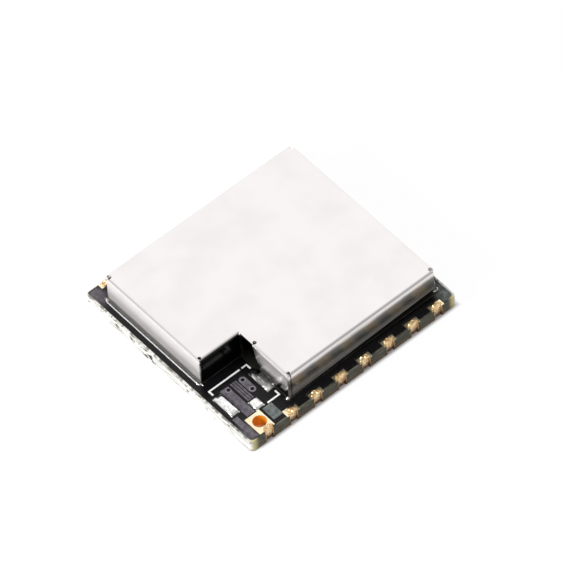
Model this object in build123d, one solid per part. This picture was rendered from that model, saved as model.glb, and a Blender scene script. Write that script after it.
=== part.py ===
from build123d import *
import os

# Surface-mount radio module: a small board with plated half-holes along two edges and a
# folded sheet-metal can over its circuit. All lengths are in millimetres. The origin is
# at the middle of the board's underside, X runs along the plated edges and Z is up.

# Board
board_length = 17.0
board_width = 16.0
board_thickness = 1.0
board_corner_radius = 0.25
copper_thickness = 0.035
mask_film = 0.02
mask_pullback = 0.13
mask_clearance = 0.04
lower_mask_recess = 0.01
ink_thickness = 0.012

# Plated half-holes and their lands, as many in a row as the board has room for
row_inset = 1.5
pad_pitch = 2.0
land_width = 1.0
upper_land_depth = 0.55
lower_land_depth = 1.0
half_hole_radius = 0.285
plating = 0.035

# Antenna land, with a plated hole of its own
antenna_land_width = 1.2
antenna_land_depth = 1.5
antenna_land_shift = 0.04
antenna_hole_radius = 0.47
antenna_hole_inset = 0.93

# Footprint of the coaxial socket, which isn't fitted
socket_inset_x = 2.225
socket_inset_y = 3.26
ground_land_spacing = 2.95
ground_land_width = 0.66
ground_land_length = 1.85
signal_land_width = 0.7
signal_land_length = 0.82
signal_land_offset = 1.16
feed_width = 0.18
tin_height = 0.1
tin_margin = 0.05
tin_taper = 50

# Printed outline of the socket
outline_length_x = 3.08
outline_length_y = 3.14
outline_tick = 0.34
outline_gap = 0.28
outline_foot = 0.9
ink_width = 0.12

# Copper under the mask beside the footprint
via_radius = 0.24
via_recess_radius = 0.1
via_offset_x = 0.585
via_offset_y = 0.82
via_spacing = 0.93
ridge_width = 0.09
ridge_pitch = 0.18
ridge_count = 3
ridge_length = 1.7
trunk_width = 0.6
trunk_length = 2.6
trunk_gap = 0.1
patch_width = 0.7
patch_length = 1.1
patch_gap = 0.2
patch_drop = 0.1
strip_width = 0.36
strip_length = 1.95
strip_inset = 0.2
strip_end_gap = 0.06
corner_patch = 0.46

# Folded shield can
can_left_margin = 0.72
can_right_margin = 0.68
can_front_margin = 1.01
can_back_margin = 1.1
notch_length_x = 3.3
notch_length_y = 4.65
can_height = 2.2
sheet = 0.2
bend_radius = 0.25
corner_slit = 0.08
slit_relief_radius = 0.11
corner_relief_radius = 0.17
notch_fold_start = 1.2
notch_wall_slant = 0.75
notch_lip = 0.06
notch_relief_radius = 0.13
front_wall_lift = 0.5

# Track and solder that hold the can
ring_width = 0.5
ring_outset = 0.04
ring_left_outset = 0.14
bead_size = 0.12
bead_end_gap = 0.04
joint_radius = 0.16
joint_height = 0.14
joint_outset = 0.08

# Transceiver chip
chip_size = 4.0
chip_height = 0.85
chip_lead_height = 0.2
chip_pad_size = 2.6
chip_leads_per_side = 6
chip_lead_pitch = 0.5
chip_lead_width = 0.25
chip_lead_length = 0.4

# Crystal oscillator
crystal_length = 2.5
crystal_width = 2.0
crystal_height = 0.6
crystal_lid_height = 0.15
crystal_lid_inset = 0.12
crystal_land_length = 0.8
crystal_land_width = 0.7

# Antenna switch
switch_length = 1.1
switch_width = 1.5
switch_height = 0.5
switch_lead_height = 0.12
switch_leads_per_side = 3
switch_lead_pitch = 0.5
switch_lead_width = 0.22
switch_lead_length = 0.3

# Power inductor
coil_length = 2.5
coil_width = 2.0
coil_height = 1.2
coil_end = 0.5

# Small chip components, in rows and columns
part_length = 1.0
part_width = 0.5
part_end = 0.25
part_spacing = 1.5
capacitor_height = 0.5
inductor_height = 0.55
resistor_height = 0.35
part_land_length = 0.45
part_land_width = 0.56
solder_toe = 0.12
solder_rise = 0.2
supply_count = 3
bias_count = 4
clock_count = 3
match_count = 3
filter_count = 3


def shared(low, high, sizes):
    """Middles of pieces of these sizes that share the room between two walls evenly."""
    gap = (high - low - sum(sizes)) / (len(sizes) + 1)
    starts = [low + (n + 1) * gap + sum(sizes[:n]) for n in range(len(sizes))]
    return [start + size / 2 for start, size in zip(starts, sizes)]


# Heights of the layers, and places that follow from the sizes
copper_top = board_thickness
laminate_top = board_thickness - copper_thickness
laminate_bottom = copper_thickness
can_top = board_thickness + can_height
edge_x = board_length / 2
edge_y = board_width / 2
can_left = can_left_margin - edge_x
can_right = edge_x - can_right_margin
can_front = can_front_margin - edge_y
can_back = edge_y - can_back_margin
notch_x = can_left + notch_length_x
notch_y = can_front + notch_length_y
socket_x = socket_inset_x - edge_x
socket_y = socket_inset_y - edge_y
drill_radius = half_hole_radius + plating
antenna_drill_radius = antenna_hole_radius + plating
pads_per_row = int((board_length - row_inset - land_width) / pad_pitch) + 1
antenna_hole_x = row_inset - edge_x
antenna_hole_y = antenna_hole_inset - edge_y

# Places of the components, in columns and rows that share the room under the can
row_length = part_length + 2 * solder_toe
column_sizes = [part_land_width, switch_length, part_land_width, chip_size, max(coil_length, crystal_length)]
row_sizes = [part_land_width, row_length, chip_size, part_land_width]
inner_x = (can_left + sheet, can_right - sheet)
inner_y = (can_front + sheet, can_back - sheet)
filter_x, switch_x, match_x, chip_x, coil_x = shared(*inner_x, column_sizes)
bias_y, supply_y, chip_y, clock_y = shared(*inner_y, row_sizes)
coil_y, crystal_y = shared(*inner_y, [coil_width, crystal_width])
crystal_x = coil_x
bias_x = (notch_x + can_right) / 2
switch_y = (notch_y + can_back) / 2


def block(x0, x1, y0, y1, z0, z1):
    """A box between its low and high corners."""
    corner = (Align.MIN, Align.MIN, Align.MIN)
    return Pos(x0, y0, z0) * Box(x1 - x0, y1 - y0, z1 - z0, align=corner)


def plate(x, y, length, width, z0, z1):
    """A box given by its middle and its size in plan."""
    return block(x - length / 2, x + length / 2, y - width / 2, y + width / 2, z0, z1)


def post(x, y, radius, z0, z1):
    """An upright round bar."""
    foot = (Align.CENTER, Align.CENTER, Align.MIN)
    return Pos(x, y, z0) * Cylinder(radius, z1 - z0, align=foot)


def prism(points, plane, depth):
    """A polygon drawn on a plane and pushed along the plane's own direction."""
    return extrude(plane * Polygon(*points, align=None), amount=depth, dir=plane.z_dir)


def spread(count, pitch):
    """Evenly spaced places about zero."""
    return [(n - (count - 1) / 2) * pitch for n in range(count)]


# Places of the lands, each as middle x, middle y, length in X and width in Y

def pad_places():
    """Every plated half-hole in the order of its number, as x, y and the way inward."""
    front = [(antenna_hole_x + n * pad_pitch, -edge_y, 1) for n in range(pads_per_row)]
    return front + [(x, edge_y, -1) for x, y, inward in reversed(front)]


def pad_land(number, depth):
    """The land that one half-hole has on a face of the board."""
    x, y, inward = pad_places()[number]
    return x, y + inward * depth / 2, land_width, depth


def antenna_land():
    """The wide land of the first pad, pulled back from the board's edge."""
    y = mask_pullback + antenna_land_depth / 2 - edge_y
    return antenna_hole_x - antenna_land_shift, y, antenna_land_width, antenna_land_depth


def ground_land(side):
    """One long land beside the socket's body."""
    return socket_x + side * ground_land_spacing / 2, socket_y, ground_land_width, ground_land_length


def signal_land():
    """The middle land of the socket."""
    return socket_x, socket_y - signal_land_offset, signal_land_width, signal_land_length


def small_part_places(kind):
    """Middle and turn of each small component of one kind."""
    if kind == "capacitor":
        supply = [(chip_x + s, supply_y, 90) for s in spread(supply_count, part_spacing)]
        bias = [(bias_x + s, bias_y, 0) for s in spread(bias_count, part_spacing)]
        column = [(filter_x, switch_y + s, 90) for s in spread(filter_count, part_spacing)]
        return supply + bias + column
    if kind == "inductor":
        return [(match_x, switch_y + s, 90) for s in spread(match_count, part_spacing)]
    return [(chip_x + s, clock_y, 0) for s in spread(clock_count, part_spacing)]


def every_small_part():
    """Places of all the small components."""
    return [place for kind in ("capacitor", "inductor", "resistor") for place in small_part_places(kind)]


def lead_rows(depth, per_side, pitch, length):
    """Places of terminals along two facing sides of a chip, flush with its edges."""
    return [(s, side * (depth - length) / 2) for s in spread(per_side, pitch) for side in (-1, 1)]


def chip_lead_places():
    """Terminals on all four sides of the transceiver, and the pad under its middle."""
    wide, long = chip_lead_width, chip_lead_length
    rows = lead_rows(chip_size, chip_leads_per_side, chip_lead_pitch, chip_lead_length)
    upright = [(chip_x + s, chip_y + t, wide, long) for s, t in rows]
    sideways = [(chip_x + t, chip_y + s, long, wide) for s, t in rows]
    return upright + sideways + [(chip_x, chip_y, chip_pad_size, chip_pad_size)]


def switch_lead_places():
    """Terminals on the two long sides of the switch."""
    rows = lead_rows(switch_length, switch_leads_per_side, switch_lead_pitch, switch_lead_length)
    return [(switch_x + t, switch_y + s, switch_lead_length, switch_lead_width) for s, t in rows]


def crystal_land_places():
    """Four lands under the corners of the crystal."""
    x = (crystal_length - crystal_land_length) / 2
    y = (crystal_width - crystal_land_width) / 2
    corners = [(crystal_x + i * x, crystal_y + j * y) for i in (-1, 1) for j in (-1, 1)]
    return [(*corner, crystal_land_length, crystal_land_width) for corner in corners]


def coil_land_places():
    """Two lands under the ends of the power inductor."""
    x = (coil_length - coil_end) / 2
    return [(coil_x + side * x, coil_y, coil_end, coil_width) for side in (-1, 1)]


# Board and its plated half-holes

def laminate():
    """Glass-fibre core with its drilled holes, which the edges cut in half."""
    outline = RectangleRounded(board_length, board_width, board_corner_radius)
    core = Pos(0, 0, laminate_bottom) * extrude(outline, amount=laminate_top - laminate_bottom)
    for x, y, inward in pad_places():
        core -= post(x, y, drill_radius, 0, board_thickness)
    return core - post(antenna_hole_x, antenna_hole_y, antenna_drill_radius, 0, board_thickness)


def castellated_pad(number):
    """Upper land, lower land and the plated half-barrel that joins them."""
    x, y, inward = pad_places()[number]
    upper = antenna_land() if number == 0 else pad_land(number, upper_land_depth)
    pad = plate(*upper, laminate_top, copper_top)
    pad += plate(*pad_land(number, lower_land_depth), 0, laminate_bottom)
    pad += post(x, y, drill_radius, 0, board_thickness)
    if number == 0:
        pad += plate(*antenna_land(), 0, laminate_bottom)
        pad += post(antenna_hole_x, antenna_hole_y, antenna_drill_radius, 0, board_thickness)
        pad -= post(antenna_hole_x, antenna_hole_y, antenna_hole_radius, 0, board_thickness)
    pad -= post(x, y, half_hole_radius, 0, board_thickness)
    outside = plate(x, y - inward * drill_radius / 2, 2 * drill_radius, drill_radius, 0, board_thickness)
    return pad - outside


# Copper of the socket's footprint

def signal_copper():
    """Middle land with the short feed that joins it to the antenna land."""
    x, y, width, length = signal_land()
    land_x, land_y, land_wide, land_deep = antenna_land()
    left = x - width / 2
    right = land_x + land_wide / 2
    low = land_y + land_deep / 2
    feed_left, feed_right = min(left, right - feed_width), max(left + feed_width, right)
    feed = block(feed_left, feed_right, low, y, laminate_top, copper_top)
    return plate(x, y, width, length, laminate_top, copper_top) + feed


def tinning(land, neighbour):
    """Solder that stands domed on a land, clear of what lies beside it."""
    x, y, width, length = land
    base = Rectangle(width - 2 * tin_margin, length - 2 * tin_margin)
    dome = extrude(base, amount=tin_height, taper=tin_taper)
    return Pos(x, y, copper_top) * dome - neighbour


def grown_block(x0, x1, y0, y1, grow, top):
    """A patch of foil between two corners, grown on every side."""
    return block(x0 - grow, x1 + grow, y0 - grow, y1 + grow, laminate_top, top)


def via_places():
    """Vias beside the socket, the first two of them in one pad."""
    x, y = via_offset_x, socket_y + via_offset_y
    return [(socket_x + x, y), (socket_x + x, y - via_spacing), (socket_x - x, y)]


def covered_tracks(grow, top):
    """Tracks and patches that show as raised shapes under the mask, pitted at the vias."""
    (x, y), (low_x, low_y) = via_places()[:2]
    radius = via_radius + grow
    pill = block(x - radius, x + radius, low_y, y, laminate_top, top)
    pill += post(x, y, radius, laminate_top, top) + post(low_x, low_y, radius, laminate_top, top)
    back = y + via_radius
    half = ridge_width / 2
    middles = [socket_x + s for s in spread(ridge_count, ridge_pitch)]
    ridges = [grown_block(m - half, m + half, back - ridge_length, back, grow, top) for m in middles]
    trunk_right = socket_x - signal_land_width / 2 - trunk_gap
    trunk = grown_block(trunk_right - trunk_width, trunk_right, back - trunk_length, back, grow, top)
    land_x, land_y, land_wide, land_deep = antenna_land()
    patch_x = land_x + land_wide / 2 + patch_gap
    patch_y = land_y + land_deep / 2 - patch_drop
    patch = grown_block(patch_x, patch_x + patch_width, patch_y - patch_length, patch_y, grow, top)
    strip_x = mask_pullback + strip_inset - edge_x
    strip_y = mask_pullback + strip_end_gap - edge_y
    strip = grown_block(strip_x, strip_x + strip_width, strip_y, strip_y + strip_length, grow, top)
    corner_x = edge_x - strip_inset
    corner_y = mask_pullback + corner_patch - edge_y
    low_half, high_half = corner_y - corner_patch / 2, corner_y + corner_patch / 2
    square = grown_block(corner_x - corner_patch, corner_x, low_half, high_half, grow, top)
    shapes = [pill, *ridges, trunk, patch, strip, square]
    for via_x, via_y in via_places():
        shapes = [shape - post(via_x, via_y, via_recess_radius - grow, laminate_top, top) for shape in shapes]
    return shapes


# Folded shield can

def can_outline(inset):
    """Corners of the can in plan, pulled in by one distance on every side."""
    left, right = can_left + inset, can_right - inset
    front, back = can_front + inset, can_back - inset
    x, y = notch_x + inset, notch_y + inset
    return [(left, y), (x, y), (x, front), (right, front), (right, back), (left, back)]


def can_block(inset, top, radius):
    """Solid with the can's outline, its upper edges rounded as the sheet bends."""
    solid = prism(can_outline(inset), Plane.XY.offset(copper_top), top - copper_top)
    return fillet(solid.edges().group_by(Axis.Z)[-1], radius)


def slit_corners():
    """Corners beside the notch, as x, y and the ways inward along X and Y."""
    return [(can_left, notch_y, 1, 1), (notch_x, can_front, 1, 1)]


def cut_corners():
    """The other three corners of the can, given the same way."""
    return [(can_right, can_front, -1, 1), (can_right, can_back, -1, -1), (can_left, can_back, 1, -1)]


def between(x0, x1, y0, y1):
    """Room as high as the can between two places along X and two along Y, in either order."""
    return block(min(x0, x1), max(x0, x1), min(y0, y1), max(y0, y1), copper_top, can_top)


def relief_hole(x, y, radius):
    """Round hole through the lid's bend."""
    return post(x, y, radius, can_top - bend_radius, can_top)


def slit_opening(x, y, way_x, way_y):
    """Slit beside the wall that runs up to the corner, which ends in a small relief hole."""
    near = x + way_x * sheet
    far = near + way_x * corner_slit
    end = y + way_y * (sheet + corner_slit / 2)
    slit = between(near, far, y - way_y * sheet, end)
    return slit + relief_hole((near + far) / 2, end, slit_relief_radius)


def cut_opening(x, y, way_x, way_y):
    """Square cut that both walls stop at, with a relief hole at its inner corner."""
    inner_x = x + way_x * sheet
    inner_y = y + way_y * (sheet + corner_slit)
    return between(x, inner_x, y, inner_y) + relief_hole(inner_x, inner_y, corner_relief_radius)


def notch_opening():
    """Gap where the fold of the notch's side wall starts away from the inner corner."""
    start = notch_y - notch_fold_start
    foot = start - notch_wall_slant
    points = [(notch_y, copper_top), (notch_y, can_top), (start, can_top), (foot, copper_top)]
    gap = prism(points, Plane.YZ.offset(notch_x - sheet), sheet + bend_radius)
    bend_x, bend_y = notch_x + bend_radius, notch_y + bend_radius
    lip = block(notch_x + notch_lip, bend_x, start, bend_y, can_top - sheet, can_top)
    return gap, lip, relief_hole(bend_x, start, notch_relief_radius)


def front_lift():
    """Wedge under the front wall, whose lower edge rises towards the right corner."""
    left = notch_x + sheet + corner_slit
    right = can_right - sheet
    points = [(left, copper_top), (right, copper_top), (right, copper_top + front_wall_lift)]
    return prism(points, Plane.XZ.offset(-can_front - sheet), 2 * sheet)


def shield_can():
    """Lid and six walls bent from one sheet."""
    can = can_block(0, can_top, bend_radius) - can_block(sheet, can_top - sheet, bend_radius - sheet)
    gap, lip, relief = notch_opening()
    can = can - gap + lip - relief
    for place in slit_corners():
        can -= slit_opening(*place)
    for place in cut_corners():
        can -= cut_opening(*place)
    return can - front_lift()


# Track and solder that hold the can

def joint_places():
    """Middles of the solder joints, on the side walls by the can's outer corners."""
    past_cut = sheet + corner_slit + joint_outset
    beside_slits = [(x - i * joint_outset, y + j * joint_outset) for x, y, i, j in slit_corners()]
    return beside_slits + [(x - i * joint_outset, y + j * past_cut) for x, y, i, j in cut_corners()]


def ring_solid(clearance, top):
    """The track under the can's walls, grown by a clearance."""
    z0 = laminate_top
    ring = prism(can_outline(-ring_outset - clearance), Plane.XY.offset(z0), top - z0)
    ring -= prism(can_outline(ring_width + clearance), Plane.XY.offset(z0), top - z0)
    outset = ring_left_outset + clearance
    ring += block(can_left - outset, can_left, notch_y - ring_outset, can_back + ring_outset, z0, top)
    for x, y in joint_places():
        ring += post(x, y, joint_radius + clearance, z0, top)
    return ring


def ring_land():
    """Copper track that the can stands on, wider on the left where solder shows."""
    return ring_solid(0, copper_top)


def can_solder(can):
    """A bead along the left wall and a domed joint at each outer corner."""
    points = [(can_left, copper_top), (can_left - bead_size, copper_top), (can_left, copper_top + bead_size)]
    front = joint_places()[0][1] + joint_radius + bead_end_gap
    back = joint_places()[-1][1] - joint_radius - bead_end_gap
    bead = prism(points, Plane.XZ.offset(-back), back - front)
    ball_radius = (joint_radius**2 + joint_height**2) / (2 * joint_height)
    joints = []
    for x, y in joint_places():
        ball = Pos(x, y, copper_top + joint_height - ball_radius) * Sphere(ball_radius)
        cap = ball & plate(x, y, 2 * ball_radius, 2 * ball_radius, copper_top, can_top)
        joints.append((cap - can).solids().sort_by(SortBy.VOLUME)[-1])
    return [bead, *joints]


# Circuit under the can

def component_lands():
    """Copper lands of every component that the can covers."""
    places = chip_lead_places() + switch_lead_places() + crystal_land_places() + coil_land_places()
    lands = [plate(*place, laminate_top, copper_top) for place in places]
    reach = part_length / 2 + solder_toe - part_land_length / 2
    for x, y, turn in every_small_part():
        for side in (-1, 1):
            land = Pos(side * reach, 0, 0) * Box(part_land_length, part_land_width, copper_thickness)
            lands.append(Pos(x, y, (laminate_top + copper_top) / 2) * Rot(0, 0, turn) * land)
    return lands


def component_windows():
    """Openings of the mask, one for each component under the can."""
    grow = 2 * mask_clearance
    windows = [
        (chip_x, chip_y, chip_size + grow, chip_size + grow),
        (switch_x, switch_y, switch_length + grow, switch_width + grow),
        (crystal_x, crystal_y, crystal_length + grow, crystal_width + grow),
        (coil_x, coil_y, coil_length + grow, coil_width + grow),
    ]
    long_side = part_length + 2 * solder_toe + grow
    short_side = part_land_width + grow
    for x, y, turn in every_small_part():
        windows.append((x, y, short_side, long_side) if turn else (x, y, long_side, short_side))
    return [plate(*window, laminate_top, can_top) for window in windows]


def leads(places, height):
    """Flat terminals under a moulded body."""
    return [plate(*place, copper_top, copper_top + height) for place in places]


def moulded_body(x, y, size_x, size_y, height, terminals):
    """Plastic body moulded round its terminals."""
    body = plate(x, y, size_x, size_y, copper_top, copper_top + height)
    for terminal in terminals:
        body -= terminal
    return body


def small_bodies(kind, height):
    """Middle blocks of the small components of one kind."""
    body = Pos(0, 0, copper_top + height / 2) * Box(part_length - 2 * part_end, part_width, height)
    return [Pos(x, y, 0) * Rot(0, 0, turn) * body for x, y, turn in small_part_places(kind)]


def small_ends(kind, height):
    """Metal end caps of the small components of one kind."""
    ends = []
    for x, y, turn in small_part_places(kind):
        for side in (-1, 1):
            cap = Pos(side * (part_length - part_end) / 2, 0, 0) * Box(part_end, part_width, height)
            ends.append(Pos(x, y, copper_top + height / 2) * Rot(0, 0, turn) * cap)
    return ends


def small_solder():
    """Solder fillet at each end of each small component."""
    near = part_length / 2
    points = [(near, 0), (near + solder_toe, 0), (near, solder_rise)]
    wedge = prism(points, Plane.XZ.offset(-part_width / 2), part_width)
    places = [(x, y, turn + extra) for x, y, turn in every_small_part() for extra in (0, 180)]
    return [Pos(x, y, copper_top) * Rot(0, 0, turn) * wedge for x, y, turn in places]


# Solder mask and printing

def mask_sheet(z0, z1):
    """Sheet that covers a face of the board, pulled back from its edges."""
    size_x = board_length - 2 * mask_pullback
    size_y = board_width - 2 * mask_pullback
    return Pos(0, 0, z0) * extrude(RectangleRounded(size_x, size_y, board_corner_radius), amount=z1 - z0)


def opened(sheet_solid, lands, z0, z1):
    """A mask with an opening round every land and half-hole."""
    grow = 2 * mask_clearance
    for x, y, length, width in lands:
        sheet_solid -= plate(x, y, length + grow, width + grow, z0, z1)
    for x, y, inward in pad_places():
        sheet_solid -= post(x, y, drill_radius + mask_clearance, z0, z1)
    return sheet_solid


def upper_mask(covered, signal):
    """Mask of the upper face, raised over the copper that it covers."""
    mask = mask_sheet(laminate_top, laminate_top + mask_film)
    for raised in covered_tracks(mask_film, copper_top + mask_film):
        mask += raised
    lands = [pad_land(n, upper_land_depth) for n in range(2 * pads_per_row)]
    lands += [antenna_land(), ground_land(-1), ground_land(1), signal_land()]
    mask = opened(mask, lands, laminate_top, can_top)
    mask -= ring_solid(mask_clearance, can_top)
    for cut in [signal, *covered, *component_windows()]:
        mask -= cut
    return mask


def lower_mask():
    """Mask of the underside, a little higher than the lands that the module rests on."""
    lands = [pad_land(n, lower_land_depth) for n in range(2 * pads_per_row)] + [antenna_land()]
    return opened(mask_sheet(lower_mask_recess, laminate_bottom), lands, 0, board_thickness)


def stroke(x0, y0, x1, y1):
    """A straight printed line between two points, in whichever order."""
    low = laminate_top + mask_film
    half = ink_width / 2
    (left, right), (front, back) = sorted((x0, x1)), sorted((y0, y1))
    return block(left - half, right + half, front - half, back + half, low, low + ink_thickness)


def printing():
    """Broken outline that marks where the socket's body goes."""
    left = socket_x - outline_length_x / 2
    right = left + outline_length_x
    back = socket_y + outline_length_y / 2
    front = back - outline_length_y
    bracket = right - outline_tick
    long_line = stroke(left, back, bracket - outline_gap, back)
    long_line += stroke(left, back - outline_tick, left, back)
    corner = stroke(bracket, back, right, back) + stroke(right, back - outline_tick, right, back)
    foot = stroke(right - outline_foot, front, right, front)
    foot += stroke(right, front, right, front + outline_tick)
    return [long_line, corner, foot]


def save(name, solids):
    """Writes one sub-part, as one solid or as a group of separate ones."""
    shape = Compound(children=solids) if isinstance(solids, list) else solids
    export_step(shape, f"parts/{name}.step")


os.makedirs("parts", exist_ok=True)

covered = covered_tracks(0, copper_top)
signal = signal_copper()
ring = ring_land()
can = shield_can()
chip_leads = leads(chip_lead_places(), chip_lead_height)
switch_leads = leads(switch_lead_places(), switch_lead_height)
coil_ends = leads(coil_land_places(), coil_height)
crystal_body_top = copper_top + crystal_height
crystal_lid_top = crystal_body_top + crystal_lid_height
lid_length = crystal_length - 2 * crystal_lid_inset
lid_width = crystal_width - 2 * crystal_lid_inset

save("board_laminate", laminate())
save("upper_solder_mask", upper_mask(covered, signal))
save("lower_solder_mask", lower_mask())
for number in range(2 * pads_per_row):
    save(f"castellated_pad_{number + 1:02d}", castellated_pad(number))
save("covered_copper", covered)
save("shield_ring_land", ring)
save("socket_ground_land_left", plate(*ground_land(-1), laminate_top, copper_top))
save("socket_ground_land_right", plate(*ground_land(1), laminate_top, copper_top) - ring)
save("socket_signal_land", signal)
save("ground_tinning_left", tinning(ground_land(-1), ring))
save("ground_tinning_right", tinning(ground_land(1), ring))
save("signal_tinning", tinning(signal_land(), ring))
save("printed_outline", printing())
save("shield_can", can)
save("shield_solder", can_solder(can))
save("component_lands", component_lands())
save("transceiver_leads", chip_leads)
save("transceiver_body", moulded_body(chip_x, chip_y, chip_size, chip_size, chip_height, chip_leads))
save("crystal_base", plate(crystal_x, crystal_y, crystal_length, crystal_width, copper_top, crystal_body_top))
save("crystal_lid", plate(crystal_x, crystal_y, lid_length, lid_width, crystal_body_top, crystal_lid_top))
save("switch_leads", switch_leads)
switch_size = (switch_length, switch_width, switch_height)
save("switch_body", moulded_body(switch_x, switch_y, *switch_size, switch_leads))
save("power_inductor_ends", coil_ends)
save("power_inductor_core", moulded_body(coil_x, coil_y, coil_length, coil_width, coil_height, coil_ends))
heights = {"capacitor": capacitor_height, "inductor": inductor_height, "resistor": resistor_height}
for kind, height in heights.items():
    save(f"{kind}_bodies", small_bodies(kind, height))
    save(f"{kind}_ends", small_ends(kind, height))
save("component_solder", small_solder())
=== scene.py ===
import math

import bpy
import numpy as np
from mathutils import Matrix, Vector


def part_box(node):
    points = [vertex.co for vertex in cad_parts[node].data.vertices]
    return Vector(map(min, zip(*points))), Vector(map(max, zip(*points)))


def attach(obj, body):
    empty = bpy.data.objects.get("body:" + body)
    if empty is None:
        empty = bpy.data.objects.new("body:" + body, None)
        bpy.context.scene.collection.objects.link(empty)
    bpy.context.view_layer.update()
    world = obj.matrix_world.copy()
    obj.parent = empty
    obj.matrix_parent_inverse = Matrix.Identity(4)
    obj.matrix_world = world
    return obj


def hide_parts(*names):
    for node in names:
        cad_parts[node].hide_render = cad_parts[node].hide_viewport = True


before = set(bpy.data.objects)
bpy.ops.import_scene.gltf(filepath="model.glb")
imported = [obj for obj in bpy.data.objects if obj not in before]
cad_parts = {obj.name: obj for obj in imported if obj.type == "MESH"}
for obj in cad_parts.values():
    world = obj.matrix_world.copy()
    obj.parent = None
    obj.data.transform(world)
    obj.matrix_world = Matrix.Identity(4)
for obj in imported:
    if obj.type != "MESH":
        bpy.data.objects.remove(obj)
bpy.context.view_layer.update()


# Sawn board
# The core is woven glass in epoxy resin, about eight plies thick. Two edges are milled through
# the plated holes and stay dark, and the other two are snapped from a score, which whitens them;
# the snapped sides are also painted lighter and the milled ones darker, for how light falls on
# them. A painted warm shadow browns the milled edges towards their foot.

class Value:
    """A socket of a material, in whose arithmetic each sign adds one Math node."""

    def __init__(self, recipe, socket):
        self.recipe = recipe
        self.socket = socket

    def maths(self, operation, *terms):
        """One Math node on these terms, which are numbers or sockets."""
        return self.recipe.node("ShaderNodeMath", {"operation": operation}, dict(enumerate(terms)))

    def __add__(self, other):
        return self.maths("ADD", self, other)

    def __radd__(self, other):
        return self.maths("ADD", other, self)

    def __sub__(self, other):
        return self.maths("SUBTRACT", self, other)

    def __rsub__(self, other):
        return self.maths("SUBTRACT", other, self)

    def __mul__(self, other):
        return self.maths("MULTIPLY", self, other)

    def __rmul__(self, other):
        return self.maths("MULTIPLY", other, self)

    def __pow__(self, other):
        return self.maths("POWER", self, other)

    def __abs__(self):
        return self.maths("ABSOLUTE", self)

    def over(self, other):
        """The larger of the two."""
        return self.maths("MAXIMUM", self, other)


class Recipe:
    """The nodes of a material or a world, with patterns laid out in millimetres."""

    def __init__(self, tree, place, scale):
        self.tree = tree
        found = self.node("ShaderNodeTexCoord", out=place)
        self.place = self.node("ShaderNodeMapping", {}, {"Vector": found, "Scale": (scale, scale, scale)})

    def feed(self, socket, value):
        """Links a socket to another, or sets its own number or colour."""
        if isinstance(value, Value):
            self.tree.links.new(value.socket, socket)
        elif socket.type == "RGBA":
            socket.default_value = (*value, 1)
        else:
            socket.default_value = value

    def node(self, kind, settings={}, sockets={}, out=0):
        """Adds one node, makes its settings, fills its sockets and gives one of its outputs."""
        node = self.tree.nodes.new(kind)
        for name, setting in settings.items():
            setattr(node, name, setting)
        for name, value in sockets.items():
            self.feed(node.inputs[name], value)
        return Value(self, node.outputs[out])

    def axis(self, name):
        """One coordinate."""
        return self.node("ShaderNodeSeparateXYZ", {}, {"Vector": self.place}, name)

    def away(self, x, y):
        """Distance from an upright line at x, y."""
        across, along = self.axis("X") - x, self.axis("Y") - y
        return (across * across + along * along) ** 0.5

    def step(self, value, low, high):
        """Smooth change from 0 at low to 1 at high."""
        sockets = {"Value": value, "From Min": low, "From Max": high}
        return self.node("ShaderNodeMapRange", {"interpolation_type": "SMOOTHSTEP"}, sockets)

    def blend(self, share, first, second):
        """Colour between two others."""
        return self.node("ShaderNodeMix", {"data_type": "RGBA"}, {0: share, 6: first, 7: second}, 2)

    def noise(self, per_mm, detail=3, stretch=(1, 1, 1), distortion=0):
        """Cloudy pattern between 0 and 1, with so many spots to a millimetre."""
        place = self.node("ShaderNodeVectorMath", {"operation": "MULTIPLY"}, {0: self.place, 1: stretch})
        sockets = {"Vector": place, "Scale": per_mm, "Detail": detail, "Distortion": distortion}
        return self.node("ShaderNodeTexNoise", {}, sockets)


class Finish(Recipe):
    """A material with one principled shader."""

    def __init__(self, name):
        self.material = bpy.data.materials.new(name)
        self.material.use_nodes = True
        super().__init__(self.material.node_tree, "Object", 1000)
        self.shader = self.tree.nodes["Principled BSDF"]

    def relief(self, height, depth_mm):
        """Surface relief of a height pattern, as the normal of the shader."""
        sockets = {"Height": height, "Distance": depth_mm / 1000, "Strength": 1.0}
        return self.node("ShaderNodeBump", {}, sockets)

    def surface(self, **sockets):
        """Fills the shader's sockets, named with underscores for spaces."""
        for name, value in sockets.items():
            self.feed(self.shader.inputs[name.replace("_", " ")], value)
        return self

    def on(self, *names):
        """Puts the finish on nodes of the frame."""
        for name in names:
            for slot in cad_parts[name].material_slots:
                slot.material = self.material


resin_dark = (0.030, 0.030, 0.019)
resin_light = (0.105, 0.10, 0.066)
foot_shadow_brown = (0.19, 0.115, 0.055)
resin_amber = (0.62, 0.55, 0.26)
crushed_glass = (0.66, 0.65, 0.62)
crushed_shade = (0.36, 0.35, 0.33)
pit_dark = (0.03, 0.028, 0.022)

# Depths in from the edges and heights, in millimetres, from where each shade starts to where it is full
snapped_depth = (0.15, 0.11)
amber_reach = (0.7, 0.2)
amber_depth = (0.6, 0.3)
foot_shadow_height = (0.55, 0.0)
pit_height = (0.95, 0.75)
fray_height = (0.68, 0.9)

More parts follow.
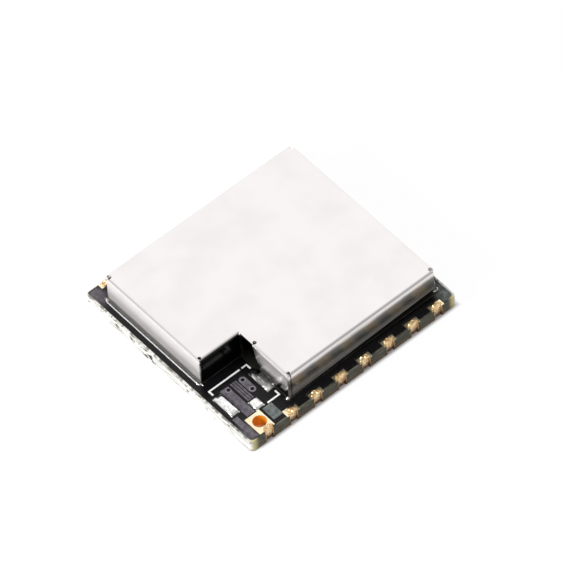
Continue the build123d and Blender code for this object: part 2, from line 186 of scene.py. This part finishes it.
board_low, board_high = (corner * 1000 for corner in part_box("board_laminate"))
sawn = Finish("sawn_laminate")
ply_bands = sawn.noise(1, 4, (1.6, 1.6, 14))
plies = sawn.noise(1, 3, (0.5, 0.5, 7))
fibre_ends = sawn.noise(7, 5, (1, 1, 2.4), 0.4)
in_from_side = board_high.x - abs(sawn.axis("X"))
in_from_front = sawn.axis("Y") - board_low.y
# Partly painted light: besides their real whitening and darkness, the snapped sides are painted lighter and
# the milled sides darker, for how light falls on them.
snapped_and_lit = sawn.step(in_from_side, *snapped_depth)
corner = sawn.step(in_from_side, *amber_reach) * sawn.step(in_from_front, *amber_depth)
foot_shadow = sawn.step(sawn.axis("Z"), *foot_shadow_height)
milled_and_shaded_colour = sawn.blend(sawn.step(ply_bands, 0.42, 0.66), resin_dark, resin_light)
# Painted warm shadow: the milled sides turn brown towards their foot.
milled_and_shaded_colour = sawn.blend(foot_shadow * sawn.step(fibre_ends, 0.3, 0.7), milled_and_shaded_colour, foot_shadow_brown)
milled_and_shaded_colour = sawn.blend(corner * 0.9, milled_and_shaded_colour, resin_amber)
snapped_and_lit_colour = sawn.blend(sawn.step(plies, 0.38, 0.52), crushed_shade, crushed_glass)
snapped_and_lit_colour = sawn.blend(sawn.step(fibre_ends, 0.42, 0.3) * 0.6, snapped_and_lit_colour, crushed_shade)
pits = sawn.step(sawn.noise(1.5, 4, (1, 1, 1.6)), 0.60, 0.64) * sawn.step(sawn.axis("Z"), *pit_height)
snapped_and_lit_colour = sawn.blend(pits, snapped_and_lit_colour, pit_dark)
frayed = sawn.step(sawn.noise(3.5, 4, (1, 1, 3)), 0.48, 0.56) * sawn.step(sawn.axis("Z"), *fray_height)
snapped_and_lit_colour = sawn.blend(frayed * 0.75, snapped_and_lit_colour, resin_light)
sawn.surface(
    Base_Color=sawn.blend(snapped_and_lit, milled_and_shaded_colour, snapped_and_lit_colour),
    Roughness=sawn.step(fibre_ends, 0.2, 0.8) * 0.3 + 0.5,
    Normal=sawn.relief(ply_bands + fibre_ends, 0.03),
)
sawn.on("board_laminate")


# Solder mask
# A black lacquer a few hundredths of a millimetre thick, flooded over both faces and cured to a
# gloss. It stands higher and looks greyer over the foil that it covers. A painted highlight rings
# each small plated hole and painted shade blackens inside it.

mask_black = (0.0045, 0.004, 0.005)
mask_purple = (0.150, 0.135, 0.158)
mask_green = (0.170, 0.190, 0.185)
via_rim_highlight = (0.27, 0.26, 0.28)
via_places = ((-6.86, -3.92), (-5.69, -3.92), (-5.69, -4.85))
via_highlight_radii = (0.23, 0.19)
via_well_shade_radii = (0.15, 0.12)
foil_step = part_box("castellated_pad_01")[1].z * 1000
foil_climb = (-0.005, 0.01)
poured_corner_x, poured_corner_y = (7.2, 7.9), (6.0, 7.4)
green_right_of, green_in_front_of = (-6.5, -6.2), (-5.6, -6.0)

lacquer = Finish("black_lacquer")
lacquer_x, lacquer_y = lacquer.axis("X"), lacquer.axis("Y")
over_foil = lacquer.step(lacquer.axis("Z") - foil_step, *foil_climb)
poured = lacquer.step(abs(lacquer_y), *poured_corner_y) * lacquer.step(abs(lacquer_x), *poured_corner_x)
mottle = lacquer.noise(3.0, 5)
weave = lacquer.noise(9, 4, distortion=0.3)
tone = lacquer.blend(lacquer.step(lacquer_x, *green_right_of), mask_purple, mask_green)
tone = lacquer.blend(lacquer.step(lacquer_y, *green_in_front_of), mask_purple, tone)
cover = over_foil.over(poured * 0.8) * (lacquer.step(mottle, 0.25, 0.75) * 0.6 + weave * 0.5 + 0.2)
lacquer_colour = lacquer.blend(cover, mask_black, tone)
for via_place in via_places:
    away = lacquer.away(*via_place)
    # Painted highlight on the via's raised rim, and painted shade in its well.
    rim = lacquer.step(away, *via_highlight_radii) * over_foil
    lacquer_colour = lacquer.blend(rim * 0.7, lacquer_colour, via_rim_highlight)
    lacquer_colour = lacquer.blend(lacquer.step(away, *via_well_shade_radii), lacquer_colour, mask_black)
lacquer.surface(
    Base_Color=lacquer_colour,
    Roughness=mottle * 0.14 + 0.16,
    Specular_IOR_Level=0.2,
    Normal=lacquer.relief(mottle + weave * 0.4, 0.014),
)
lacquer.on("upper_solder_mask", "lower_solder_mask")


# Plated lands
# Copper with nickel and a thin flash of gold. The lands are flat and shine. The small ones on the
# can's side are painted dark for the wall they reflect, the barrels are painted in shade towards
# their foot, and the plating inside the antenna hole is painted a deep orange for the light
# bounced round inside it.

gold_pale = (1.0, 0.90, 0.68)
gold_deep = (0.95, 0.78, 0.48)
barrel_peach = (0.88, 0.58, 0.30)
barrel_copper = (0.55, 0.30, 0.13)
barrel_foot_shade = (0.20, 0.085, 0.03)
land_dark_reflection = (0.045, 0.04, 0.028)
bore_bounce_orange = (0.95, 0.42, 0.02)
pads = [f"castellated_pad_{number:02d}" for number in range(1, 17)]
land_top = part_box(pads[1])[1].z * 1000
barrel_start = (-0.01, -0.06)
barrel_shade_height = (0.55, 0.2)
antenna_hole = (-7.0, -7.07)
antenna_hole_radii = (0.53, 0.49)
dark_reflection_end = (7.72, 7.62)
row_start = (7.0, 7.1)
antenna_land_end = (-5.2, -5.0)
back_half = (-1, 1)

plated = Finish("gold_plating")
in_barrel = plated.step(plated.axis("Z") - land_top, *barrel_start)
dragged = plated.noise(9, 5, (1, 1, 0.7), 0.6)
cloud = plated.noise(2.4, 3)
# Painted bounced light: the bore's plating is deepened to orange for light bouncing round inside it.
in_bore = plated.step(plated.away(*antenna_hole), *antenna_hole_radii) * in_barrel
flat_colour = plated.blend(plated.step(cloud, 0.35, 0.7), gold_pale, gold_deep)
from_middle = abs(plated.axis("Y"))
small_lands = plated.step(plated.axis("X"), *antenna_land_end).over(plated.step(plated.axis("Y"), *back_half))
small_lands = small_lands * plated.step(from_middle, *row_start)
# Painted dark reflection: the small lands near the can are darkened for the wall they mirror.
dark_reflection = plated.step(from_middle + cloud * 0.2, *dark_reflection_end) * small_lands
flat_colour = plated.blend(dark_reflection, flat_colour, land_dark_reflection)
rough_colour = plated.blend(plated.step(dragged, 0.36, 0.6), barrel_copper, barrel_peach)
# Painted shade: the barrel's lining turns dark brown towards its foot.
rough_colour = plated.blend(plated.step(plated.axis("Z"), *barrel_shade_height), rough_colour, barrel_foot_shade)
plated.surface(
    Base_Color=plated.blend(in_bore, plated.blend(in_barrel, flat_colour, rough_colour), bore_bounce_orange),
    Metallic=1.0 - in_bore * 0.55,
    Roughness=in_barrel * 0.22 + cloud * 0.08 + 0.09,
    Normal=plated.relief(dragged * in_barrel + cloud * 0.05, 0.03),
)
plated.on("component_lands", *pads)


# Dragged half-hole linings
# The cutter that halves the plated holes tears their lining and drags it over the rim. What is
# left is a crumpled lump of copper and gold that fills each half-hole and stands on its land,
# with painted shade darkening it towards its foot.

def wrinkle(points, per_mm, seed):
    """Uneven height at each point: the mean of twelve cosine waves, each along its own direction
    and with its own phase from a seeded generator, so it lies between -1 and 1."""
    source = np.random.default_rng(seed)
    waves = source.normal(size=(12, 3)) * per_mm * math.pi
    phases = source.uniform(0, 2 * math.pi, 12)
    return np.cos(points @ waves.T + phases).mean(-1)


def skin(name, rings, finish):
    """Makes a closed piece of rings of points in millimetres, an array of ring by point by axis.
    Point j of ring i is joined to its neighbours in the ring and in ring i + 1, and a fan about
    its middle closes each end ring."""
    count, around = rings.shape[:2]
    ends = rings[[0, -1]].mean(1)
    points = np.concatenate([rings.reshape(-1, 3), ends]) / 1000
    ring, place = np.meshgrid(np.arange(count - 1), np.arange(around), indexing="ij")
    here, beside = ring * around + place, ring * around + (place + 1) % around
    walls = np.stack([here, here + around, beside + around, beside], -1).reshape(-1, 4)
    first, after = np.arange(around), np.roll(np.arange(around), -1)
    last = (count - 1) * around
    opening = np.stack([np.full(around, count * around), first, after], -1)
    closing = np.stack([np.full(around, count * around + 1), last + after, last + first], -1)
    mesh = bpy.data.meshes.new(name)
    mesh.from_pydata(points.tolist(), [], walls.tolist() + opening.tolist() + closing.tolist())
    mesh.polygons.foreach_set("use_smooth", np.ones(len(mesh.polygons), bool))
    mesh.materials.append(finish.material)
    piece = bpy.data.objects.new(name, mesh)
    bpy.context.scene.collection.objects.link(piece)
    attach(piece, "root")
    return piece


lump_around = 96
lump_profile = (
    (0.03, 1.10, 1.0), (0.09, 1.10, 1.0), (0.15, 1.10, 1.0), (0.21, 1.095, 1.0), (0.27, 1.085, 1.0),
    (0.32, 1.07, 1.0), (0.36, 1.055, 0.8), (0.39, 1.035, 0.5), (0.405, 1.01, 0.2), (0.40, 0.992, 0.0),
    (0.34, 0.990, 0.0), (0.274, 0.988, 0.0), (0.272, 0.90, 0.3), (0.272, 0.78, 0.5), (0.272, 0.64, 0.5),
    (0.272, 0.50, 0.5), (0.270, 0.36, 0.5), (0.262, 0.24, 0.3), (0.235, 0.16, 0.1), (0.16, 0.13, 0.0),
    (0.05, 0.125, 0.0),
)
barrel_radius = 0.272
middle_depth = 0.16
front_set_back = 0.02
front_curve = 0.6
broad_per_mm, broad_height = 3.2, 0.24
fine_per_mm, fine_height = 8, 0.14
dent_inward = 0.6
dent_narrowing = 0.8
flattest_depth = 0.8


def torn_lump(name, middle_x, way, seed):
    """A profile of radius and height, from the middle of the top over the rim to the middle of the
    foot, carried round a half-disc at the board's edge: x = middle + way * r cos t, and the depth
    in from the edge is r max(sin t, 0) plus a front that falls back with the square of x, with the
    wrinkle there and, inside the barrel's radius R, by d (1 - r / R). The wrinkle is a broad one
    and a fine one added up. It narrows the profile and lifts the top, by the profile's own share."""
    radius, height, share = np.array(lump_profile).T[..., None]
    turn = np.linspace(0, 2 * math.pi, lump_around, endpoint=False)
    along, inward = np.cos(turn) * radius, np.maximum(np.sin(turn), 0) * radius
    smooth = np.stack([along, inward, height + 0 * turn], -1)
    broad = wrinkle(smooth, broad_per_mm, seed) * broad_height
    fine = wrinkle(smooth, fine_per_mm, seed + 50) * fine_height
    crumple = np.abs(broad + fine)
    depth = front_set_back + front_curve * along**2 + dent_inward * crumple * share
    depth = depth + middle_depth * (1 - np.minimum(radius / barrel_radius, 1))
    narrowed = 1 - dent_narrowing * crumple * share
    x = middle_x + way * along * narrowed
    y = -way * (board_high.y - depth - inward * np.minimum(narrowed, 1 - depth / flattest_depth))
    z = height + share * crumple * (height > land_top)
    return skin(name, np.stack([x, y, z], -1), dragged_plating)


torn_foot_shade = (0.12, 0.045, 0.015)
torn_copper = (0.78, 0.46, 0.20)
torn_gold = (1.0, 0.85, 0.54)
torn_shade_height = (0.4, 1.0)
half_land = 0.5

dragged_plating = Finish("dragged_plating")
torn = dragged_plating.noise(7, 5, distortion=0.8)
# Painted shade: the lump turns dark brown towards its foot.
above_shade = dragged_plating.step(dragged_plating.axis("Z") + torn * 0.3, *torn_shade_height)
torn_colour = dragged_plating.blend(dragged_plating.step(torn, 0.42, 0.6), torn_copper, torn_gold)
dragged_plating.surface(
    Base_Color=dragged_plating.blend(above_shade, torn_foot_shade, torn_colour),
    Metallic=0.85,
    Roughness=torn * 0.3 + 0.16,
    Normal=dragged_plating.relief(torn, 0.04),
)
for number, pad in enumerate(pads, 1):
    low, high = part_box(pad)
    row_way = 1 if low.y < 0 else -1
    place_x = high.x * 1000 - half_land if number == 1 else (low.x + high.x) * 500
    torn_lump(f"dragged_lining_{number:02d}", place_x, row_way, number)


# Covered foil
# Etched copper of the tracks beside the socket, which shows only as raised shapes in the mask.

foil = Finish("etched_foil")
foil_grain = foil.noise(6, 4)
foil.surface(
    Base_Color=foil.blend(foil_grain, (0.72, 0.36, 0.22), (0.85, 0.50, 0.33)),
    Metallic=1.0,
    Roughness=foil_grain * 0.2 + 0.3,
)
foil.on("covered_copper")


# Printed outline
# White ink screened on the mask. Its edges are a little ragged and it is thin enough to be uneven.

ink = Finish("screened_ink")
ink_body = ink.noise(8, 4)
ink.surface(
    Base_Color=ink.blend(ink.step(ink_body, 0.3, 0.55), (0.66, 0.66, 0.66), (0.90, 0.90, 0.89)),
    Roughness=ink_body * 0.2 + 0.5,
    Normal=ink.relief(ink_body, 0.01),
)
ink.on("printed_outline")


# Tinned lands
# Bright tin alloy that wetted the three lands of the socket and froze in low cushions, with
# steep sides where it stopped at the mask.

solder_grey = (0.70, 0.70, 0.69)
solder_white = (0.92, 0.92, 0.91)
solder_darker = (0.27, 0.265, 0.26)
notch_x = -4.48
right_land_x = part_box("socket_ground_land_right")[0].x * 1000
darker_past_land = (-0.15, -0.08)
darker_before_notch = (0.02, -0.05)
darker_behind = (-5.6, -5.1)

solder = Finish("bright_solder")
frost = solder.noise(7, 4)
streaks = solder.noise(2.5, 3, (1, 0.25, 1))
bright_tin = solder.blend(solder.step(frost, 0.25, 0.6), solder_grey, solder_white)
# The right land turns darker grey in streaks, from its left edge to the notch and behind its front part.
on_right_land = solder.step(solder.axis("X") - right_land_x, *darker_past_land)
on_right_land = on_right_land * solder.step(solder.axis("X") - notch_x, *darker_before_notch)
darker_streaks = on_right_land * solder.step(streaks, 0.62, 0.5) * solder.step(solder.axis("Y"), *darker_behind)
solder.surface(
    Base_Color=solder.blend(darker_streaks, bright_tin, solder_darker),
    Metallic=1.0,
    Roughness=frost * 0.14 + 0.12,
    Normal=solder.relief(frost, 0.005),
)

cushion_rings = 26
cushion_around = 96
cushion_spread = 0.07
cushion_dent = 0.6
cushion_raggedness = 0.05


def cushion(node, height_mm, corner_power, seed):
    """A low dome over a land: at angle t the outline is a superellipse, at share r of the way out
    the height is h (1 - r^5)^(1/2), and the wrinkle there changes both by a few hundredths."""
    low, high = (corner * 1000 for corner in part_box(node))
    middle = (low + high) / 2
    turn = np.linspace(0, 2 * math.pi, cushion_around, endpoint=False)
    share = np.sin(np.linspace(0.02, 1, cushion_rings) * math.pi / 2)[:, None]
    half_x, half_y = (high.x - low.x) / 2 + cushion_spread, (high.y - low.y) / 2 + cushion_spread
    wide = np.sign(np.cos(turn)) * np.abs(np.cos(turn)) ** (2 / corner_power) * half_x
    long = np.sign(np.sin(turn)) * np.abs(np.sin(turn)) ** (2 / corner_power) * half_y
    flat = np.stack([share * wide, share * long, 0 * share * wide], -1)
    uneven = wrinkle(flat, 0.9, seed)
    ragged = 1 + cushion_raggedness * wrinkle(flat[-1:], 2.0, seed + 9)
    top = height_mm * np.maximum(1 - share**5, 0) ** 0.5 * (1 + cushion_dent * uneven)
    x, y = middle.x + flat[..., 0] * ragged, middle.y + flat[..., 1] * ragged
    dome = np.stack([x, y, low.z + top], -1)
    piece = skin(node + "_froze", dome, solder)
    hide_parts(node)
    return piece


cushion("ground_tinning_left", 0.20, 5, 3)
cushion("ground_tinning_right", 0.11, 5, 5)
cushion("signal_tinning", 0.15, 4, 8)
solder.on("socket_ground_land_left", "socket_ground_land_right", "socket_signal_land")


# Solder at the can's foot
# The can stands on a tinned track. Solder shows as a thin bright bead along the left wall, a
# little out from it, and as small fillets where the can's corners meet the track.

bead_profile = (
    (0.135, 0.000), (0.140, 0.025), (0.152, 0.048), (0.170, 0.063), (0.190, 0.068), (0.210, 0.062),
    (0.228, 0.046), (0.240, 0.024), (0.245, 0.000), (0.240, -0.012), (0.190, -0.014), (0.140, -0.012),
)
bead_sections = 160
bead_wave = 0.02
bead_grain = 0.01


def wall_bead(name, wall_x, front_y, back_y, foot_z, seed):
    """A closed profile of distance out and height, carried along Y: x = wall - out * w, and
    z = foot + up * w, with w = (1 - |2 s - 1|^40)^(1/2) at share s of the way, so both ends close.
    A long wave and a fine grain of wrinkles push it out and lift its crown."""
    out, up = np.array(bead_profile).T
    share = np.linspace(0.001, 0.999, bead_sections)[:, None]
    width = (1 - np.abs(2 * share - 1) ** 40) ** 0.5
    y = front_y + (back_y - front_y) * share + 0 * out
    smooth = np.stack([wall_x - out * width, y, foot_z + up * width], -1)
    uneven = wrinkle(smooth, 0.4, seed) * bead_wave + wrinkle(smooth, 2.0, seed + 3) * bead_grain
    smooth[..., 0] -= uneven
    smooth[..., 2] += uneven * (up > 0.02)
    return skin(name, smooth, solder)


fillet_rings = 20
fillet_around = 40
fillet_raggedness = 0.3
fillet_grain = 0.01


def corner_fillet(name, middle_x, middle_y, radius_x, radius_y, height_mm, foot_z, seed):
    """A concave cone about a corner: at share r of the way out to an ellipse the height is
    h (1 - r)^2 and a fine grain of wrinkles, and its rim leaves the ellipse by the wrinkle there."""
    turn = np.linspace(0, 2 * math.pi, fillet_around, endpoint=False)
    share = np.linspace(0.03, 1, fillet_rings)[:, None]
    rim = np.stack([np.cos(turn) * radius_x, np.sin(turn) * radius_y, 0 * turn], -1)
    reach = 1 + fillet_raggedness * wrinkle(rim[None], 3, seed)
    x = middle_x + share * rim[:, 0] * reach
    y = middle_y + share * rim[:, 1] * reach
    uneven = fillet_grain * wrinkle(np.stack([x, y, 0 * x], -1), 4, seed) * (share < 1)
    z = foot_z + height_mm * (1 - share) ** 2 + uneven
    return skin(name, np.stack([x, y, z + 0 * turn], -1), solder)


can_low, can_high = (corner * 1000 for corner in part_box("shield_can"))
notch_y = -2.34
notch_joint_y = notch_y - 0.12
cut_depth = 0.23
cut_left, cut_right = can_low.x - 0.02, can_high.x - 0.02
cut_front, cut_back = can_low.y + cut_depth, can_high.y - cut_depth
track_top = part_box("shield_ring_land")[1].z * 1000
bead = wall_bead("left_wall_bead", can_low.x, notch_joint_y, can_high.y - 0.1, track_top, 21)
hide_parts("shield_solder")
corner_fillet("notch_corner_fillet", can_low.x, notch_joint_y, 0.05, 0.17, 0.09, track_top, 31)
corner_fillet("front_corner_fillet", notch_x - 0.04, can_low.y + 0.10, 0.13, 0.13, 0.2, track_top, 32)
corner_fillet("right_corner_fillet", cut_right, cut_front, 0.22, 0.18, 1.0, track_top, 33)
corner_fillet("back_corner_fillet", cut_right, cut_back, 0.22, 0.18, 1.0, track_top, 34)
corner_fillet("far_corner_fillet", cut_left, cut_back, 0.13, 0.15, 0.3, track_top, 35)
solder.on("component_solder")

track_grey = (0.20, 0.195, 0.19)
track_tarnish_and_shade = (0.03, 0.028, 0.026)

track = Finish("tarnished_and_shaded_track")
tarnish = track.noise(4, 4)
# Painted shade: the track is dark everywhere but outside the left wall, and tarnish darkens it in spots.
outer_left = track.step(track.axis("X"), can_low.x + 0.06, can_low.x)
track_colour = track.blend(outer_left, track_tarnish_and_shade, track_grey)
track.surface(
    Base_Color=track.blend(track.step(tarnish, 0.3, 0.8) * 0.6, track_colour, track_tarnish_and_shade),
    Metallic=0.6,
    Roughness=tarnish * 0.2 + 0.3,
    Normal=track.relief(tarnish, 0.01),
)
track.on("shield_ring_land")


# Shield can
# One blank of tin-plated steel sheet, 0.2 mm thick, with its walls bent down over rounded
# edges. Slits and small relief holes free the walls at the corners. The rolled sheet is satin.
# Painted shade and dark reflections darken its walls towards their foot, the front wall below its
# top band, the notch's side low down, and the back of the notch to near black.

tin_bright = (0.865, 0.83, 0.825)
tin_dull = (0.82, 0.785, 0.775)
left_foot_shade = (0.30, 0.29, 0.28)
front_wall_shade = (0.24, 0.23, 0.215)
front_foot_shade = (0.36, 0.345, 0.325)
notch_shade = (0.03, 0.028, 0.027)

# Distances past the can's corners and the notch's, and heights, in millimetres, from where each
# shade starts to where it is full
outer_face = (0.08, 0.03)
notch_inside_x, notch_inside_left = (0.02, -0.04), (0.06, 0.14)
notch_back_face = (0.12, 0.05)
side_face_in, side_face_out = (0.05, 0.02), (-0.1, -0.05)
side_back_end, side_front_end = (0.1, 0.0), (0.02, 0.1)
side_lit_y = (-3.4, -4.6)
fold_height = (3.16, 3.0)
left_foot_shade_height = (1.55, 1.2)
front_shade_height = (2.95, 2.6)
front_foot_shade_height = (2.05, 1.45)
side_lit_height = (1.5, 2.3)
side_foot_shade_height = (2.0, 1.5)

rolled = Finish("satin_tinplate")
rolling = rolled.noise(1, 4, (0.6, 9, 9))
upright = rolled.noise(1, 4, (8, 8, 0.6))
clouding = rolled.noise(0.35, 4)
wall_height = rolled.axis("Z")
past_left, past_front = rolled.axis("X") - can_low.x, rolled.axis("Y") - can_low.y
past_notch_x, past_notch_y = rolled.axis("X") - notch_x, rolled.axis("Y") - notch_y
on_wall = rolled.step(wall_height, *fold_height)
on_left = rolled.step(past_left, *outer_face)
on_front = rolled.step(past_front, *outer_face)
in_notch = rolled.step(past_notch_x, *notch_inside_x) * rolled.step(past_left, *notch_inside_left)
notch_back = in_notch * rolled.step(past_notch_y, *notch_back_face)
tin = rolled.blend(rolled.step(clouding, 0.35, 0.7), tin_bright, tin_dull)
# Painted shade: the left wall darkens towards its foot.
tin = rolled.blend(on_left * rolled.step(wall_height, *left_foot_shade_height), tin, left_foot_shade)
# Painted reflection: the front wall is darkened below its top band, a little less near its foot.
front_height = wall_height + (clouding - 0.5) * 0.5
tin = rolled.blend(on_front * rolled.step(front_height, *front_shade_height), tin, front_wall_shade)
low_front = on_front * rolled.step(front_height, *front_foot_shade_height)
tin = rolled.blend(low_front, tin, front_foot_shade)
on_side = rolled.step(past_notch_x, *side_face_in) * rolled.step(past_notch_x, *side_face_out)
on_side = on_side * rolled.step(past_notch_y, *side_back_end) * rolled.step(past_front, *side_front_end)
lit_side = on_side * rolled.step(rolled.axis("Y"), *side_lit_y) * rolled.step(wall_height, *side_lit_height)
# Painted shade: the notch's side darkens towards its foot.
side_foot = on_side * rolled.step(wall_height, *side_foot_shade_height)
tin = rolled.blend(side_foot * 0.85, tin, notch_shade)
rolled.surface(
    # Painted shade: the back of the notch is near black.
    Base_Color=rolled.blend(notch_back, tin, notch_shade),
    Metallic=1.0 - on_wall * (on_left * 0.2 + on_front * 0.06 + low_front * 0.5 + lit_side * 0.4),
    Roughness=rolling * 0.04 + clouding * 0.06 + on_left * 0.14 + on_front * 0.10 + 0.13,
    Normal=rolled.relief(rolling * 0.12 + clouding * 0.35 + upright * on_wall * on_front * 0.12, 0.02),
)
rolled.on("shield_can")


# Circuit under the can
# Moulded chips, a crystal, a power inductor and small ceramic parts, soldered to their lands.

def plain_finish(name, first, second, metallic, roughness, relief_mm):
    """A finish of two close colours in a fine grain: both vary with one cloudy pattern."""
    finish = Finish(name)
    grain = finish.noise(10, 4)
    return finish.surface(
        Base_Color=finish.blend(grain, first, second),
        Metallic=metallic,
        Roughness=grain * 0.15 + roughness,
        Normal=finish.relief(grain, relief_mm),
    )


plain_finish("tinned_terminal", (0.68, 0.68, 0.67), (0.80, 0.80, 0.79), 1.0, 0.25, 0.003).on(
    "transceiver_leads", "switch_leads", "power_inductor_ends",
    "capacitor_ends", "inductor_ends", "resistor_ends",
)
plain_finish("moulding_compound", (0.018, 0.018, 0.02), (0.04, 0.04, 0.042), 0.0, 0.55, 0.01).on(
    "transceiver_body", "switch_body"
)
plain_finish("crystal_ceramic", (0.12, 0.11, 0.10), (0.20, 0.19, 0.17), 0.0, 0.5, 0.006).on(
    "crystal_base"
)
plain_finish("crystal_lid_metal", (0.70, 0.66, 0.56), (0.80, 0.76, 0.66), 1.0, 0.25, 0.003).on(
    "crystal_lid"
)
plain_finish("pressed_ferrite", (0.07, 0.07, 0.075), (0.13, 0.13, 0.135), 0.0, 0.6, 0.01).on(
    "power_inductor_core"
)
plain_finish("capacitor_ceramic", (0.44, 0.31, 0.20), (0.56, 0.41, 0.28), 0.0, 0.45, 0.006).on(
    "capacitor_bodies"
)
plain_finish("inductor_ceramic", (0.48, 0.54, 0.56), (0.62, 0.66, 0.68), 0.0, 0.4, 0.006).on(
    "inductor_bodies"
)
plain_finish("resistor_glaze", (0.012, 0.012, 0.014), (0.03, 0.03, 0.032), 0.0, 0.2, 0.003).on(
    "resistor_bodies"
)


# Floor, lamps and camera
# A white sheet under the module, in a room that is bright behind it on the right, where the lid
# mirrors it, and dark in front. A small lamp on the left lights the walls on that side.

sheet_half = 2000
sheet_white = (0.95, 0.95, 0.95)
sheet_share = 0.96
shadow_reach = 0.3
mirrored_shadow = (0.6, 0.95)

mesh = bpy.data.meshes.new("floor")
corners = np.array([(-1, -1, 0), (1, -1, 0), (1, 1, 0), (-1, 1, 0)]) * sheet_half / 1000
mesh.from_pydata(corners.tolist(), [], [(0, 1, 2, 3)])
floor = bpy.data.objects.new("floor", mesh)
bpy.context.scene.collection.objects.link(floor)

paper = Finish("white_paper")
paper.surface(Base_Color=sheet_white, Roughness=0.9, Specular_IOR_Level=0.1)
beyond = (abs(paper.axis("X")) - board_high.x).over(abs(paper.axis("Y")) - board_high.y)
seen = paper.node("ShaderNodeLightPath", out="Is Camera Ray")
seen = seen.over(paper.node("ShaderNodeLightPath", out="Is Transmission Ray"))
mirrored = paper.node("ShaderNodeLightPath", out="Is Glossy Ray")
share = seen * paper.step(beyond, 0.0, shadow_reach) + mirrored * paper.step(beyond, *mirrored_shadow)
share = share * sheet_share
glow = paper.node("ShaderNodeEmission", {}, {"Color": (1, 1, 1), "Strength": 1.0})
lit = Value(paper, paper.shader.outputs[0])
mixed = paper.node("ShaderNodeMixShader", {}, {0: share, 1: lit, 2: glow})
paper.feed(paper.tree.nodes["Material Output"].inputs["Surface"], mixed)
floor.data.materials.append(paper.material)

bright_way = (0.50, 0.75, 0.43)
brightening = (0.1, 0.85)
room_dark = 0.5
room_bright = 1.1

world = bpy.data.worlds.new("studio")
world.use_nodes = True
bpy.context.scene.world = world
room = Recipe(world.node_tree, "Generated", 1)
vectors = {0: room.place, 1: bright_way}
facing = room.node("ShaderNodeVectorMath", {"operation": "DOT_PRODUCT"}, vectors, "Value")
level = room.step(facing, *brightening) * (room_bright - room_dark) + room_dark
level = level.over(room.node("ShaderNodeLightPath", out="Is Camera Ray"))
background = world.node_tree.nodes["Background"]
room.feed(background.inputs["Color"], (1, 1, 1))
room.feed(background.inputs["Strength"], level)


def soft_lamp(name, azimuth, elevation, distance, side, level):
    """A square lamp that faces the module from a bearing, bright enough to look like that level."""
    turn, lift = math.radians(azimuth), math.radians(elevation)
    away = Vector((math.sin(turn) * math.cos(lift), -math.cos(turn) * math.cos(lift), math.sin(lift)))
    lamp = bpy.data.lights.new(name, "AREA")
    lamp.shape = "SQUARE"
    lamp.size = side
    lamp.energy = level * math.pi * side**2
    holder = bpy.data.objects.new(name, lamp)
    holder.location = away * distance
    holder.rotation_mode = "QUATERNION"
    holder.rotation_quaternion = away.to_track_quat("Z", "Y")
    holder.visible_camera = False
    bpy.context.scene.collection.objects.link(holder)


soft_lamp("left_lamp", azimuth=-100, elevation=30, distance=0.30, side=0.08, level=45)

camera_azimuth = math.radians(-37.115)
camera_elevation = math.radians(52.424)
camera_roll = math.radians(-4.677)
camera_distance = 0.518769
focal_pixels = 8234
picture_pixels = 562
aim_right = -0.603e-3
aim_up = -1.434e-3

back = Vector((
    math.sin(camera_azimuth) * math.cos(camera_elevation),
    -math.cos(camera_azimuth) * math.cos(camera_elevation),
    math.sin(camera_elevation),
))
level_right = Vector((0, 0, 1)).cross(back).normalized()
level_up = back.cross(level_right)
right = math.cos(camera_roll) * level_right + math.sin(camera_roll) * level_up
up = back.cross(right)
camera = bpy.data.cameras.new("camera")
camera.lens = focal_pixels / picture_pixels * camera.sensor_width
viewer = bpy.data.objects.new("camera", camera)
bpy.context.scene.collection.objects.link(viewer)
turned = Matrix((right, up, back)).transposed().to_4x4()
viewer.matrix_world = Matrix.Translation(back * camera_distance - right * aim_right - up * aim_up) @ turned
bpy.context.scene.camera = viewer
bpy.context.scene.view_settings.view_transform = "Standard"
